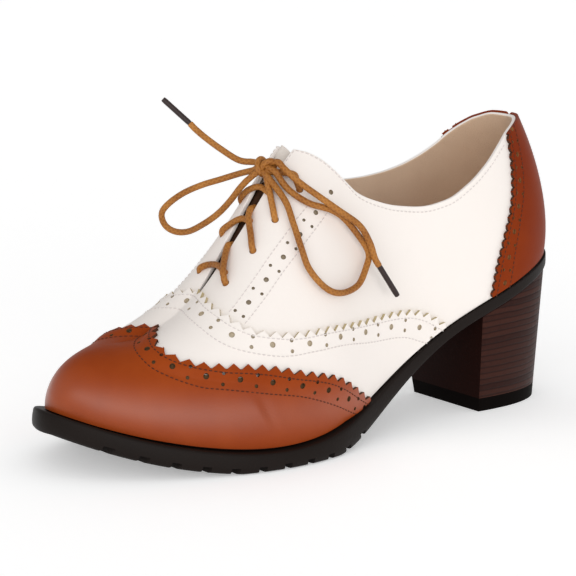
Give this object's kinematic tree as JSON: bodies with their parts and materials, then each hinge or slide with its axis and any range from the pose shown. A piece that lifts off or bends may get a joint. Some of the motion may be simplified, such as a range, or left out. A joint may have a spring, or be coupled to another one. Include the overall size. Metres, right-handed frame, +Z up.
{
  "type": "lace-up heeled shoe",
  "caption": "Left lace-up brogue shoe with a white leather upper, tan wing cap and counter, black lugged sole and a stacked block heel.",
  "frame": {"origin": "on the floor under the middle of the sole's box", "axes": "+X to the toe, +Y to the outer side of the left foot, +Z up"},
  "size_m": [0.2504, 0.0914, 0.1354],
  "materials": {
    "sole_rubber": "satin black rubber",
    "stacked_heel": "dark brown stacked leather, fine level lines",
    "heel_rubber": "matte black rubber",
    "insole_board": "beige lining leather",
    "white_leather": "smooth white leather, satin",
    "tan_leather": "smooth tan leather, satin gloss",
    "waxed_cord": "round waxed cord",
    "aglet_plastic": "dark brown"
  },
  "bodies": {
    "root": {"outsole": "sole_rubber", "heel": "stacked_heel", "heel_top_piece": "heel_rubber", "insole": "insole_board", "upper": "white_leather", "tongue": "white_leather", "vamp": "white_leather", "toe_cap": "tan_leather", "counter": "tan_leather", "lace_crossing_1": "waxed_cord", "lace_crossing_2": "waxed_cord", "lace_crossing_3": "waxed_cord", "lace_crossing_4": "waxed_cord", "lace_knot": "waxed_cord", "lace_loop_inner": "waxed_cord", "lace_loop_outer": "waxed_cord", "lace_end_inner": "waxed_cord", "lace_end_outer": "waxed_cord", "aglet_inner": "aglet_plastic", "aglet_outer": "aglet_plastic"}
  },
  "joints": []
}
